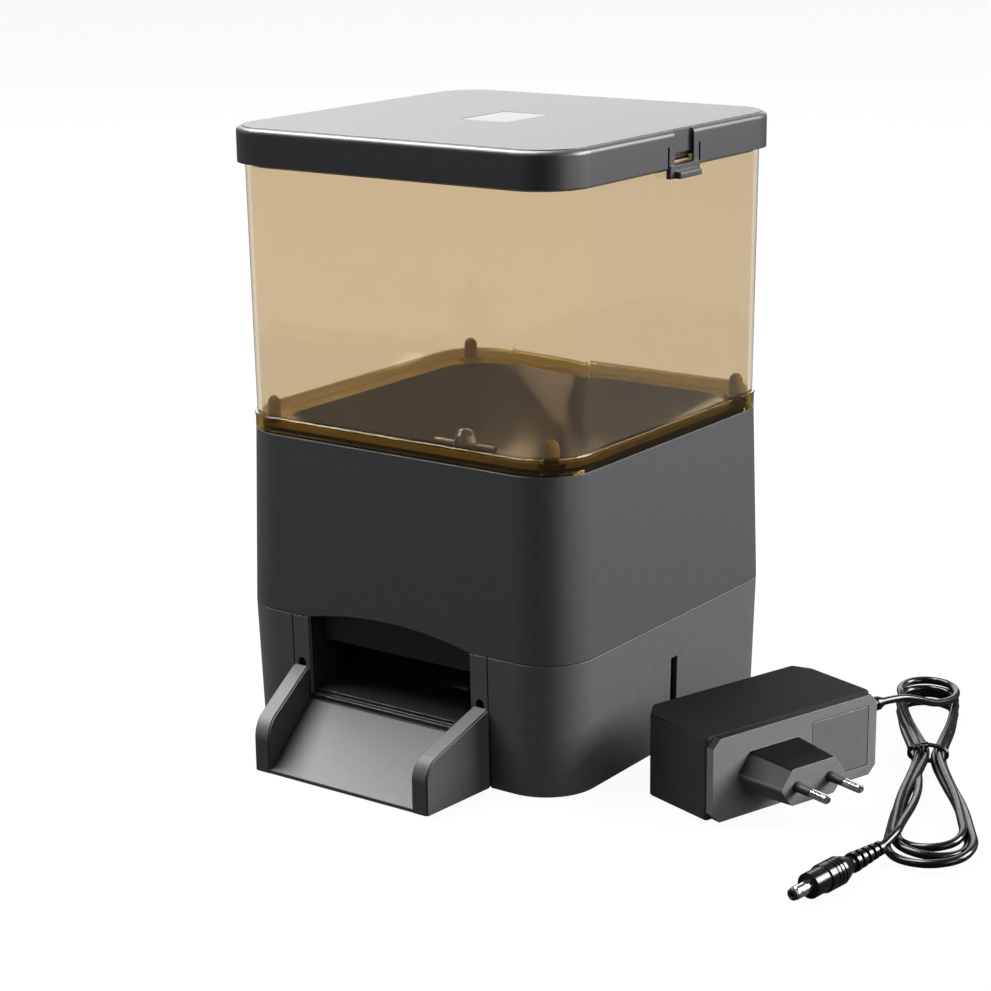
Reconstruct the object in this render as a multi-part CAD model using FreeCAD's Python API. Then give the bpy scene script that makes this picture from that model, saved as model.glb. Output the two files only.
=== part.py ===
import FreeCAD, Part

import math
import os

from FreeCAD import Placement, Rotation, Vector

# Automatic pet feeder, in millimetres. The origin is the centre of the footprint on the surface that
# the feeder stands on, +Z is up and the feeding ramp faces -Y.

# ---------------------------------------------------------------- driving dimensions
WALL = 2.2
SEAM_GAP = 0.3

FLOOR_HALF = 90.5          # half width of the body at the floor
SEAM_HALF = 91.9           # at the seam between base and body
NECK_HALF = 90.0           # at the top of the body
SEAM_Z = 61.0
NECK_Z = 143.9
CORNER_R = 24.7

TANK_Z = 151.5             # where the tank's foot ends and its wall starts
TANK_TOP_Z = 271.0
TANK_FOOT_HALF = 89.7
TANK_LOW_HALF = 89.0
TANK_TOP_HALF = 90.0
TANK_WALL = 2.0

LID_HALF = 92.2
LID_R = 22.5
LID_SKIRT_Z = 265.5
LID_TOP_Z = 281.3
LID_PANEL = 0.35           # height of the raised panel on the lid
LID_ROUND = 2.3
LID_SKIRT_WALL = 1.6
LID_ROOF = 2.4

LATCH_Y = 3.6              # centre of the latch along the side
LATCH_HALF = 12.1
LATCH_NOTCH_HALF = 8.0
LATCH_SLIT = 1.4
LATCH_NOTCH_DEPTH = 1.9
LATCH_TAB_HALF = 8.7
LATCH_TOP_Z = 274.6
LATCH_BAR_Z = 266.6
LATCH_LOW_Z = 261.0
LATCH_GAP = 0.05

PLATE_HALF_X = 12.5        # blank badge in the middle of the lid
PLATE_HALF_Y = 17.0
PLATE_POCKET = 0.4

ROTOR_Y = -33.0            # the portioning rotor stands forward of the centre
HOUSING_R = 39.5
HOUSING_Z = 79.0
HOUSING_TOP_Z = 110.6
ROTOR_R = 38.9
SHAFT_R = 3.0
BUSH_CLEARANCE = 0.05
BORE_CLEARANCE = 0.05

GEAR_MODULE = 0.8
GEAR_TEETH = 40
PINION_TEETH = 12
GEAR_Z = 66.0
GEAR_WIDTH = 5.0
GEAR_BACKLASH = 0.35

MOUTH_X = -2.3             # the mouth stands a little to the left of the middle
MOUTH_HALF = 45.7          # half width of the opening above the ramp
PANEL_HALF = 55.3
PANEL_GAP = 0.6
SILL_Z = 24.0
ARCH_Z = 66.4
HOOK_X = 50.4              # distance of the hooks from the middle of the mouth
HOOK_SLOT = 4.4
HOOK_LOW_Z = 20.0
HOOK_TOP_Z = 40.5

RAMP_BACK_Y = -91.9
RAMP_FRONT_Y = -133.0
RAMP_BACK_LEFT = -57.2     # outsides of the two cheeks at the back and at the front
RAMP_BACK_RIGHT = 53.2
RAMP_FRONT_LEFT = -46.6
RAMP_FRONT_RIGHT = 50.0
CHEEK = 8.5
CHEEK_BACK_Z = 37.0
CHEEK_FRONT_Z = 24.6
CHEEK_STEP = 0.6
RAMP_TOP_Z = 21.6          # the slope's upper and lower ends
RAMP_LOW_Z = 2.6

POST_XY = 76.5
FOOT_XY = 58.0

ADAPTER_CENTRE = (146.0, -19.0)
ADAPTER_TURN = 72.0        # degrees from +X to the long side of the adapter
ADAPTER_LENGTH = 96.0
ADAPTER_DEPTH = 50.0
ADAPTER_HEIGHT = 38.0
PIN_SPACING = 19.0
PIN_R = 2.0
PIN_LENGTH = 19.0

CORD_R = 1.8
HANK_LOW = (252.3, -66.8)  # lower end of the hank on the floor
HANK_TURN = 116.0          # degrees from +X to the direction of the hank
HANK_LENGTH = 200.0
HANK_HEIGHT = 14.3         # at the upper end
HANK_LOW_HEIGHT = 7.2      # at the tie and the lower end
TIE_ALONG = 122.0          # distance of the tie from the lower end

DC_BACK = (230.5, -67.0)   # where the cord enters the low-voltage plug
DC_TURN = -97.5
DC_AXIS_Z = 6.4

LEAD_ROUTE = [             # from the adapter to the upper end of the hank
    (174.6, 43.2, 24.0),
    (178.4, 54.8, 23.6),
    (182.0, 66.0, 19.8),
    (185.2, 76.8, 15.0),
]
TAIL_ROUTE = [             # from the lower end of the hank to the low-voltage plug
    (228.7, -44.6, 8.9),
    (232.0, -55.4, 8.9),
    (230.5, -67.0, 6.4),
]

Z_AXIS = Vector(0, 0, 1)


# ---------------------------------------------------------------- helpers
def save(name, solids):
    """Write one node from a solid or a list of solids."""
    if isinstance(solids, list):
        shape = Part.makeCompound(solids)
    else:
        shape = solids.removeSplitter()
    shape.exportStep("parts/" + name + ".step")


def rounded(half_x, half_y, radius, z, centre=(0.0, 0.0)):
    """Closed outline of a rectangle with round corners, at height z."""
    inner_x = half_x - radius
    inner_y = half_y - radius
    bulge = radius * math.sqrt(0.5)
    edges = []
    for turn in range(4):
        side, deep = (inner_x, inner_y) if turn % 2 == 0 else (inner_y, inner_x)
        out = side + radius
        line = Part.LineSegment(Vector(out, -deep, z), Vector(out, deep, z)).toShape()
        arc = Part.Arc(
            Vector(out, deep, z), Vector(side + bulge, deep + bulge, z), Vector(side, deep + radius, z)
        ).toShape()
        for edge in (line, arc):
            edge.rotate(Vector(0, 0, 0), Z_AXIS, 90 * turn)
            edge.translate(Vector(centre[0], centre[1], 0))
            edges.append(edge)
    return Part.Wire(edges)


def drafted(*levels):
    """Solid through square outlines with round corners, each level as (z, half width, radius)."""
    outlines = [rounded(half, half, radius, z) for z, half, radius in levels]
    return Part.makeLoft(outlines, True, True)


def block(half_x, half_y, radius, low, high, centre=(0.0, 0.0)):
    """Upright prism with round corners."""
    face = Part.Face(rounded(half_x, half_y, radius, low, centre))
    return face.extrude(Vector(0, 0, high - low))


def box(x, y, z):
    """Box from three (low, high) pairs."""
    return Part.makeBox(x[1] - x[0], y[1] - y[0], z[1] - z[0], Vector(x[0], y[0], z[0]))


def rod(radius, start, direction, length):
    return Part.makeCylinder(radius, length, Vector(*start), Vector(*direction))


def post(radius, x, y, low, high):
    return Part.makeCylinder(radius, high - low, Vector(x, y, low), Z_AXIS)


def prism_x(points, low, high):
    """Outline in the YZ plane, extruded along X."""
    wire = Part.makePolygon([Vector(low, y, z) for y, z in points + points[:1]])
    return Part.Face(wire).extrude(Vector(high - low, 0, 0))


def prism_y(points, low, high):
    """Outline in the XZ plane, extruded along Y."""
    wire = Part.makePolygon([Vector(x, low, z) for x, z in points + points[:1]])
    return Part.Face(wire).extrude(Vector(0, high - low, 0))


def prism_z(points, low, high):
    """Outline in the XY plane, extruded upwards."""
    wire = Part.makePolygon([Vector(x, y, low) for x, y in points + points[:1]])
    return Part.Face(wire).extrude(Vector(0, 0, high - low))


def revolve(profile, origin=(0.0, 0.0, 0.0), direction=(0.0, 0.0, 1.0)):
    """Turn a profile of (radius, height) points about an axis."""
    wire = Part.makePolygon([Vector(r, 0, z) for r, z in profile + profile[:1]])
    solid = Part.Face(wire).revolve(Vector(0, 0, 0), Z_AXIS, 360)
    solid.Placement = Placement(Vector(*origin), Rotation(Z_AXIS, Vector(*direction)))
    return solid


def corners(distance):
    return [(x * distance, y * distance) for x in (-1, 1) for y in (-1, 1)]


def body_half(z):
    """Half width of the body's outside at a height."""
    if z <= SEAM_Z:
        return FLOOR_HALF + (SEAM_HALF - FLOOR_HALF) * z / SEAM_Z
    return SEAM_HALF + (NECK_HALF - SEAM_HALF) * (z - SEAM_Z) / (NECK_Z - SEAM_Z)


def body_skin(low, high, inset):
    """Drafted block that follows the body's outside, set in by a wall."""
    return drafted(
        (low, body_half(low) - inset, CORNER_R - inset),
        (high, body_half(high) - inset, CORNER_R - inset),
    )


def screw(x, y, head_z, length, up=True, radius=1.25, head=2.8):
    """Pan head screw. The thread points up from head_z, or down."""
    sign = 1 if up else -1
    profile = [(0, 0), (head, 0), (head, 1.0), (head - 0.7, 1.7), (radius, 1.7)]
    profile += [(radius, 1.7 + length - 1), (0, 1.7 + length)]
    solid = revolve(profile, (x, y, head_z), (0, 0, sign))
    slot = revolve([(0, -0.1), (1.0, -0.1), (0, 1.0)], (x, y, head_z), (0, 0, sign))
    return solid.cut(slot)


# ---------------------------------------------------------------- lid
def latch_cut(side):
    """Room for one latch in the lid: slits, notch and window."""
    outer = side * (LID_HALF + 2)
    inner = side * (LID_HALF - LID_SKIRT_WALL - 0.1)
    face = sorted((inner, outer))
    slit = LATCH_HALF + LATCH_SLIT
    tongue = box(face, (LATCH_Y - slit, LATCH_Y + slit), (LID_SKIRT_Z - 1, LATCH_TOP_Z))
    deep = sorted((side * (LID_HALF - LATCH_NOTCH_DEPTH), outer))
    notch = box(
        deep, (LATCH_Y - LATCH_NOTCH_HALF, LATCH_Y + LATCH_NOTCH_HALF), (TANK_TOP_Z + 0.3, LID_TOP_Z + 1)
    )
    return [tongue, notch]


def lid_cover():
    shell = block(LID_HALF, LID_HALF, LID_R, LID_SKIRT_Z, LID_TOP_Z)
    rim = [edge for edge in shell.Edges if edge.BoundBox.ZMin > LID_TOP_Z - 0.1]
    shell = shell.makeFillet(LID_ROUND, rim)
    border = LID_ROUND + 0.3
    panel_half = LID_HALF - border
    panel = block(panel_half, panel_half, LID_R - border, LID_TOP_Z, LID_TOP_Z + LID_PANEL)
    inner_half = LID_HALF - LID_SKIRT_WALL
    hollow = block(
        inner_half, inner_half, LID_R - LID_SKIRT_WALL, LID_SKIRT_Z - 1, LID_TOP_Z - LID_ROOF
    )
    shell = shell.fuse(panel).cut(hollow)
    plug_half = 87.2
    plug = block(plug_half, plug_half, 21.0, 264.0, LID_TOP_Z - LID_ROOF + 0.2)
    plug = plug.cut(block(85.5, 85.5, 19.3, 263.0, LID_TOP_Z))
    seat = block(inner_half + 0.2, inner_half + 0.2, LID_R - 1.4, TANK_TOP_Z + SEAM_GAP, 273.2)
    seat = seat.cut(block(86.0, 86.0, 18.0, 270.0, 274.0))
    groove = block(88.0, 88.0, 21.8, 266.4, 269.2).cut(block(86.6, 86.6, 20.4, 266.0, 270.0))
    backs = []
    for side in (-1, 1):
        wide = LATCH_NOTCH_HALF + 1.4
        span = sorted((side * 85.6, side * (inner_half + 0.2)))
        backs.append(
            box(span, (LATCH_Y - wide, LATCH_Y + wide), (TANK_TOP_Z + SEAM_GAP, LID_TOP_Z - 0.4))
        )
    shell = shell.fuse([plug.cut(groove), seat] + backs)
    pocket = block(PLATE_HALF_X + 0.15, PLATE_HALF_Y + 0.15, 1.2, LID_TOP_Z - PLATE_POCKET, LID_TOP_Z + 1)
    return shell.cut(latch_cut(-1) + latch_cut(1) + [pocket])


def lid_seal():
    ring = block(87.6, 87.6, 21.4, 266.6, 269.0)
    lip = block(87.2, 87.2, 21.0, 266.4, 269.2)
    hole = block(86.6, 86.6, 20.4, 266.0, 270.0)
    return ring.fuse(lip).cut(hole)


def lid_plate():
    return block(PLATE_HALF_X, PLATE_HALF_Y, 1.1, LID_TOP_Z - PLATE_POCKET, LID_TOP_Z + 0.2)


def lid_latch(side):
    """Springy tongue with a cross bar under the tank's catch and a finger tab."""
    skirt_in = LID_HALF - LID_SKIRT_WALL
    top = LATCH_TOP_Z - LATCH_GAP
    legs = []
    for end in (-1, 1):
        y = sorted((LATCH_Y + end * LATCH_NOTCH_HALF, LATCH_Y + end * LATCH_HALF))
        legs.append(box((skirt_in, LID_HALF), y, (LATCH_LOW_Z, top)))
    across = (LATCH_Y - LATCH_HALF, LATCH_Y + LATCH_HALF)
    bar = box((skirt_in + 0.9, LID_HALF + 0.6), across, (LATCH_LOW_Z, LATCH_BAR_Z))
    tab = prism_y(
        [(91.8, 264.2), (95.6, 263.7), (95.9, 263.3), (95.9, 261.4), (95.5, 261.0), (91.8, 261.0)],
        LATCH_Y - LATCH_TAB_HALF,
        LATCH_Y + LATCH_TAB_HALF,
    )
    relief = box((skirt_in - 1, skirt_in + 0.9), (LATCH_Y - 9.0, LATCH_Y + 9.0), (LATCH_LOW_Z, 271.0))
    latch = legs[0].fuse([legs[1], bar, tab]).cut(relief)
    if side < 0:
        latch = latch.mirror(Vector(0, 0, 0), Vector(1, 0, 0))
    return latch


# ---------------------------------------------------------------- tank and funnel
def hopper_tank():
    radius = CORNER_R - 1.5
    wall = drafted((TANK_Z, TANK_LOW_HALF, radius), (TANK_TOP_Z, TANK_TOP_HALF, radius))
    foot = drafted((NECK_Z + 0.1, TANK_FOOT_HALF, radius + 0.4), (TANK_Z, TANK_FOOT_HALF, radius + 0.4))
    bead = block(TANK_FOOT_HALF + 0.35, TANK_FOOT_HALF + 0.35, radius + 0.7, TANK_Z - 1.0, TANK_Z)
    inside = drafted(
        (NECK_Z, TANK_LOW_HALF - TANK_WALL, radius - TANK_WALL),
        (TANK_TOP_Z + 1, TANK_TOP_HALF - TANK_WALL, radius - TANK_WALL),
    )
    lip = block(87.6, 87.6, radius - 1.4, NECK_Z + 0.1, NECK_Z + 1.3).cut(
        block(85.4, 85.4, 18.0, NECK_Z - 1, NECK_Z + 2)
    )
    tank = wall.fuse([foot, bead]).cut(inside).fuse(lip)
    for side in (-1, 1):
        reach = side * (TANK_TOP_HALF - 0.4)
        outer = side * (LID_HALF - 1.05)
        profile = [(reach, 266.6), (outer, 267.6), (outer, 268.4), (reach, 270.2)]
        nib = prism_y(profile, LATCH_Y - 6.5, LATCH_Y + 6.5)
        tank = tank.fuse(nib)
    return tank


def square_to_round(half, corner, z_top, radius, z_low):
    """Solid that runs from a square mouth down to a round throat in front of the centre."""
    top = rounded(half, half, corner, z_top)
    flat = half - corner
    throat = []
    turn = math.degrees(math.atan2(flat, half))
    for quarter in range(4):
        for low, high in ((-turn, turn), (turn, 90 - turn)):
            points = []
            for angle in (low, (low + high) / 2, high):
                rad = math.radians(90 * quarter + angle)
                points.append(Vector(radius * math.cos(rad), ROTOR_Y + radius * math.sin(rad), z_low))
            throat.append(Part.Arc(*points).toShape())
    return Part.makeLoft([top, Part.Wire(throat)], True, True)


def hopper_funnel():
    plate_z = NECK_Z + 1.3
    top_z = plate_z + 1.6
    plate = block(86.7, 86.7, 20.4, plate_z, top_z)
    mouth_half = 78.0
    outer = square_to_round(mouth_half + 1.7, 23.7, plate_z + 0.2, 37.6, HOUSING_TOP_Z + 1.6)
    collar = post(37.6, 0, ROTOR_Y, HOUSING_TOP_Z + 1.6, HOUSING_TOP_Z + 3.0)
    inner = square_to_round(mouth_half, 22.0, top_z + 0.01, 36.0, HOUSING_TOP_Z + 1.7)
    throat = post(36.0, 0, ROTOR_Y, HOUSING_TOP_Z + 1.0, HOUSING_TOP_Z + 3.0)
    funnel = plate.fuse([outer, collar]).cut([inner, throat])
    for x, y in corners(POST_XY):
        dome = revolve(
            [(0, -2.9), (4.6, -2.9), (4.6, 0), (5.8, 0), (5.8, 1.2), (5.2, 1.8), (3.4, 1.8), (3.2, 8.6)]
            + [(2.9, 9.8), (2.2, 10.8), (1.2, 11.5), (0, 11.8)],
            (x, y, plate_z + 1.5),
        )
        funnel = funnel.fuse(dome.common(box((-86.6, 86.6), (-86.6, 86.6), (NECK_Z + 0.1, 170))))
        funnel = funnel.cut(post(1.35, x, y, NECK_Z - 1, plate_z + 9))
    return funnel


# ---------------------------------------------------------------- body
def body_shell():
    low = SEAM_Z + SEAM_GAP / 2
    shell = body_skin(low, NECK_Z, 0).cut(body_skin(low - 0.01, NECK_Z + 0.01, WALL))
    flange = block(88.6, 88.6, 22.8, NECK_Z - 2.4, NECK_Z).cut(
        block(81.2, 81.2, 24.0, NECK_Z - 3, NECK_Z + 1)
    )
    shell = shell.fuse(flange)
    for x, y in corners(POST_XY):
        pillar = post(5.0, x, y, 79.3, NECK_Z)
        thread = post(1.35, x, y, 79, 95)
        head_room = post(3.1, x, y, 100, 136.5)
        hole = post(1.6, x, y, 130, 150)
        shell = shell.fuse(pillar).cut([thread, head_room, hole])
    left = Vector(MOUTH_X - MOUTH_HALF, -100, low)
    right = Vector(MOUTH_X + MOUTH_HALF, -100, low)
    arch = Part.Arc(left, Vector(MOUTH_X, -100, ARCH_Z), right).toShape()
    chord = Part.LineSegment(right, left).toShape()
    arch_cut = Part.Face(Part.Wire([arch, chord])).extrude(Vector(0, 20, 0))
    return shell.cut(arch_cut)


def mid_deck():
    deck = block(86.9, 86.9, 20.0, 76.0, 78.9)
    front = -HOUSING_R + ROTOR_Y
    outlet = box((-19, 19), (front + 1.0, front + 22.0), (75, 80))
    hood = box((MOUTH_X - 44.9, MOUTH_X + 44.9), (-81.4, -79.6), (48.0, 76.5))
    deck = deck.fuse(hood).cut([outlet, post(5.55, 0, ROTOR_Y, 75, 80)])
    for x, y in corners(POST_XY):
        deck = deck.cut(post(1.6, x, y, 75, 80))
    return deck


def rotor_housing():
    drum = post(HOUSING_R + 2.0, 0, ROTOR_Y, HOUSING_Z, HOUSING_TOP_Z)
    drum = drum.cut(post(HOUSING_R, 0, ROTOR_Y, HOUSING_Z + 2.0, HOUSING_TOP_Z + 1))
    ring = post(HOUSING_R + 6.0, 0, ROTOR_Y, HOUSING_Z, HOUSING_Z + 2.0)
    front = -HOUSING_R + ROTOR_Y
    outlet = box((-17.5, 17.5), (front + 2.5, front + 20.5), (HOUSING_Z - 1, HOUSING_Z + 3))
    bore = post(5.0, 0, ROTOR_Y, HOUSING_Z - 1, HOUSING_Z + 3)
    return drum.fuse(ring).cut([outlet, bore])


def portion_baffle():
    """Fixed cover over the outlet pocket, so that food leaves only one pocket at a time."""
    disc = post(HOUSING_R + 1.6, 0, ROTOR_Y, HOUSING_TOP_Z + 0.1, HOUSING_TOP_Z + 1.4)
    keep = box((-24, 24), (ROTOR_Y - 50, ROTOR_Y - 12), (100, 120))
    return disc.common(keep)


def portion_rotor():
    low = HOUSING_Z + 2.5
    high = HOUSING_TOP_Z - 0.5
    hub = post(9.0, 0, ROTOR_Y, low, high)
    vanes = []
    for index in range(6):
        vane = box((8.0, ROTOR_R), (-1.1, 1.1), (low, high))
        vane.rotate(Vector(0, 0, 0), Z_AXIS, 60 * index)
        vane.translate(Vector(0, ROTOR_Y, 0))
        vanes.append(vane)
    return hub.fuse(vanes).cut(post(SHAFT_R + BORE_CLEARANCE, 0, ROTOR_Y, low - 1, high + 1))


def agitator():
    """Domed cap on the shaft with two stirring fingers."""
    foot = HOUSING_TOP_Z - 0.5
    cap = revolve(
        [(0, foot), (6.4, foot), (6.4, 130), (5.6, 138), (4.6, 141.4), (2.8, 143.4), (0, 144.2)],
        (0, ROTOR_Y, 0),
    )
    fingers = rod(1.5, (-17, ROTOR_Y, 136.4), (1, 0, 0), 34)
    return cap.fuse(fingers).cut(post(SHAFT_R + BORE_CLEARANCE, 0, ROTOR_Y, foot - 1, foot + 14))


def rotor_shaft():
    return post(SHAFT_R, 0, ROTOR_Y, 63.0, HOUSING_TOP_Z + 12)


def shaft_bush():
    sleeve = post(5.0, 0, ROTOR_Y, 75.2, HOUSING_Z + 2.0)
    collar = post(7.4, 0, ROTOR_Y, 74.0, 76.0)
    return sleeve.fuse(collar).cut(post(SHAFT_R + BUSH_CLEARANCE, 0, ROTOR_Y, 70, 90))


# ---------------------------------------------------------------- gear train and motor
def involute(angle):
    return math.tan(angle) - angle


def spur_gear(teeth, centre, phase):
    """Involute spur gear with 20 degree pressure angle."""
    pressure = math.radians(20)
    pitch_r = GEAR_MODULE * teeth / 2
    base_r = pitch_r * math.cos(pressure)
    root_r = pitch_r - 1.25 * GEAR_MODULE
    tip_r = pitch_r + 0.9 * GEAR_MODULE
    thickness = math.pi * GEAR_MODULE / 2 - GEAR_BACKLASH / 2
    flank = []
    for step in range(5):
        radius = max(root_r + 0.2, base_r)
        radius += (tip_r - radius) * step / 4
        half = thickness / (2 * pitch_r) + involute(pressure)
        half -= involute(math.acos(min(1.0, base_r / radius)))
        flank.append((radius, half))
    start = flank[0][1]
    profile = [(root_r, -start)] + [(r, -a) for r, a in flank]
    profile += [(r, a) for r, a in reversed(flank)] + [(root_r, start)]
    points = []
    for tooth in range(teeth):
        for radius, angle in profile:
            turn = angle + 2 * math.pi * tooth / teeth + phase
            points.append((centre[0] + radius * math.cos(turn), centre[1] + radius * math.sin(turn)))
    return prism_z(points, GEAR_Z, GEAR_Z + GEAR_WIDTH)


def pinion_centre():
    return (0.0, ROTOR_Y + GEAR_MODULE * (GEAR_TEETH + PINION_TEETH) / 2)


def drive_gear():
    gear = spur_gear(GEAR_TEETH, (0.0, ROTOR_Y), math.pi / 2)
    boss = post(6.0, 0, ROTOR_Y, GEAR_Z + GEAR_WIDTH, 73.4)
    gear = gear.fuse(boss)
    for index in range(5):
        hole = post(3.0, 10, 0, GEAR_Z - 1, 80)
        hole.rotate(Vector(0, 0, 0), Z_AXIS, 72 * index)
        hole.translate(Vector(0, ROTOR_Y, 0))
        gear = gear.cut(hole)
    return gear.cut(post(SHAFT_R + BORE_CLEARANCE, 0, ROTOR_Y, GEAR_Z - 1, 80))


def motor_pinion():
    half_pitch = math.pi / PINION_TEETH
    pinion = spur_gear(PINION_TEETH, pinion_centre(), -math.pi / 2 + half_pitch)
    x, y = pinion_centre()
    stub = post(1.5, x, y, 58.6, GEAR_Z)
    return pinion.fuse(stub)


def gear_motor():
    x, y = pinion_centre()
    gearbox = block(13.0, 19.0, 3.0, 42.0, 58.3, (x, y + 8))
    bore = post(1.55, x, y, 56.0, 59.0)
    can = rod(9.8, (x, y + 27, 50.2), (0, 1, 0), 26)
    nose = rod(3.2, (x, y + 53, 50.2), (0, 1, 0), 2)
    boss = post(3.4, x, y, 58.3, 60.6).cut(post(1.55, x, y, 58, 62))
    return gearbox.fuse([can, nose, boss]).cut(bore)


def motor_bracket():
    x, y = pinion_centre()
    plate = block(24.0, 24.0, 4.0, 61.0, 62.8, (x, y - 3))
    plate = plate.cut([post(3.7, x, y, 60, 64), post(SHAFT_R + BUSH_CLEARANCE, 0, ROTOR_Y, 60, 64)])
    shaft_end = post(7.0, 0, ROTOR_Y, 58.6, 61.0)
    legs = [post(3.0, px, py, 62.8, 76.0) for px in (-20.6, 20.6) for py in (y - 23.6, y + 17.4)]
    return plate.fuse([shaft_end] + legs)


# ---------------------------------------------------------------- base
def hook_slots():
    slots = []
    for side in (-1, 1):
        x = MOUTH_X + side * HOOK_X
        half = HOOK_SLOT / 2
        slots.append(box((x - half, x + half), (-95, -85), (HOOK_LOW_Z, HOOK_TOP_Z - half)))
        slots.append(rod(half, (x, -95, HOOK_TOP_Z - half), (0, 1, 0), 10))
    return slots


def base_shell():
    high = SEAM_Z - SEAM_GAP / 2
    shell = body_skin(0, high, 0).cut(body_skin(-0.01, high + 0.01, WALL))
    lap = body_skin(52.0, high + 3.4, WALL + 0.25).cut(body_skin(51.0, high + 4.0, WALL + 1.7))
    neck = body_skin(52.0, 56.0, WALL - 0.2).cut(body_skin(51.9, 56.1, WALL + 1.7))
    shell = shell.fuse([lap, neck])
    for x, y in corners(72.0):
        pillar = post(4.5, x, y, 4.3, 50.0)
        web = box((-0.9, 0.9), (0, 16), (4.3, 50.0))
        web.rotate(Vector(0, 0, 0), Z_AXIS, math.degrees(math.atan2(-x, y)))
        web.translate(Vector(x, y, 0))
        web = web.common(body_skin(0, high, WALL - 0.3))
        shell = shell.fuse([pillar, web]).cut(post(1.35, x, y, 4, 20))
    window = box((MOUTH_X - PANEL_HALF, MOUTH_X + PANEL_HALF), (-100, -80), (-1, 70))
    slots = [block(5, 2.75, 2.7, 12.0, 42.0, (side * 91.0, 0)) for side in (-1, 1)]
    jack = box((-46.5, -33.5), (80, 100), (15.2, 26.8))
    button = rod(6.3, (34, 80, 24), (0, 1, 0), 20)
    lens = rod(2.2, (50, 80, 24), (0, 1, 0), 20)
    return shell.cut([window, jack, button, lens] + slots)


def outlet_panel():
    """U shaped front panel: two jambs with hook slots and a sill bar."""
    high = SEAM_Z - SEAM_GAP / 2
    skin = body_skin(0.3, high, 0).cut(body_skin(0.29, high + 0.01, WALL + 0.1))
    wide = PANEL_HALF - PANEL_GAP
    panel = skin.common(box((MOUTH_X - wide, MOUTH_X + wide), (-100, -80), (0, 70)))
    mouth = box((MOUTH_X - MOUTH_HALF, MOUTH_X + MOUTH_HALF), (-100, -80), (SILL_Z - 2.2, 70))
    return panel.cut([mouth] + hook_slots())


def inner_chute():
    """Scoop that leads the food from the outlet to the ramp."""
    half = MOUTH_HALF + 1.6
    inner = MOUTH_HALF - 0.2
    outside = box((MOUTH_X - half, MOUTH_X + half), (-88.1, -50.4), (18.0, 75.7))
    lip = box((MOUTH_X - inner, MOUTH_X + inner), (-91.0, -88.0), (SILL_Z - 2.0, SILL_Z))
    start = Vector(0, -95, SILL_Z)
    knee = Vector(0, -70, 30.0)
    bend = Vector(0, -57.4, 37.4)
    wall = Vector(0, -52.2, 50.0)
    floor_edges = [
        Part.LineSegment(start, knee).toShape(),
        Part.Arc(knee, bend, wall).toShape(),
        Part.LineSegment(wall, Vector(0, -52.2, 80)).toShape(),
        Part.LineSegment(Vector(0, -52.2, 80), Vector(0, -95, 80)).toShape(),
        Part.LineSegment(Vector(0, -95, 80), start).toShape(),
    ]
    inside = Part.Face(Part.Wire(floor_edges)).extrude(Vector(2 * inner, 0, 0))
    inside.translate(Vector(MOUTH_X - inner, 0, 0))
    profile = [(-86.6, 17), (-52.2, 17), (-52.2, 31.0), (-66.0, 28.0), (-86.6, 22.6)]
    under = prism_x(profile, MOUTH_X - inner + 1.8, MOUTH_X + inner - 1.8)
    return outside.fuse(lip).cut([inside, under])


def base_plate():
    plate = block(87.2, 87.2, 21.3, 1.2, 4.1)
    stand = box((-30, 30), (62.0, 70.0), (4.0, 10.0)).cut(box((-28.1, 28.1), (65.1, 66.9), (4.5, 11)))
    plate = plate.fuse(stand)
    for x, y in corners(FOOT_XY):
        plate = plate.cut(post(8.1, x, y, 0, 2.6))
    for x, y in corners(72.0):
        plate = plate.cut([post(1.6, x, y, 0, 5), post(3.1, x, y, 0, 2.2)])
    front = box((-60.5, 60.5), (-90, -85.0), (0, 6))
    return plate.cut(front)


def rubber_feet():
    return [post(8.0, x, y, 0.0, 2.6) for x, y in corners(FOOT_XY)]


# ---------------------------------------------------------------- feeding ramp
def cheek_outline(inset):
    """Side view of a ramp cheek: level base, sloping top and a round nose. inset shrinks it."""
    back = RAMP_BACK_Y
    front = RAMP_FRONT_Y + inset
    rise = (CHEEK_BACK_Z - CHEEK_FRONT_Z) / (RAMP_BACK_Y - RAMP_FRONT_Y - 5.0)
    drop = inset * math.hypot(1, rise)
    knee = Vector(0, RAMP_FRONT_Y + 6.5, CHEEK_BACK_Z - drop - rise * (back - RAMP_FRONT_Y - 6.5))
    nose = Vector(0, front, 16.0)
    middle = Vector(0, RAMP_FRONT_Y + 1.9 + inset * 0.8, 21.2 - inset * 0.5)
    edges = [
        Part.LineSegment(Vector(0, back, 0.4), Vector(0, back, CHEEK_BACK_Z - drop)).toShape(),
        Part.LineSegment(Vector(0, back, CHEEK_BACK_Z - drop), knee).toShape(),
        Part.Arc(knee, middle, nose).toShape(),
        Part.LineSegment(nose, Vector(0, front, 0.4)).toShape(),
        Part.LineSegment(Vector(0, front, 0.4), Vector(0, back, 0.4)).toShape(),
    ]
    return Part.Face(Part.Wire(edges))


def ramp_plan(inset, low, high):
    """Plan of the ramp as an upright prism, a little longer than the ramp. inset narrows both sides."""
    run = RAMP_FRONT_Y - RAMP_BACK_Y
    left_lean = (RAMP_FRONT_LEFT - RAMP_BACK_LEFT) / run
    right_lean = (RAMP_FRONT_RIGHT - RAMP_BACK_RIGHT) / run
    points = [
        (RAMP_BACK_RIGHT - inset + right_lean, RAMP_BACK_Y + 1),
        (RAMP_BACK_LEFT + inset + left_lean, RAMP_BACK_Y + 1),
        (RAMP_FRONT_LEFT + inset - left_lean, RAMP_FRONT_Y - 1),
        (RAMP_FRONT_RIGHT - inset - right_lean, RAMP_FRONT_Y - 1),
    ]
    return prism_z(points, low, high)


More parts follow.
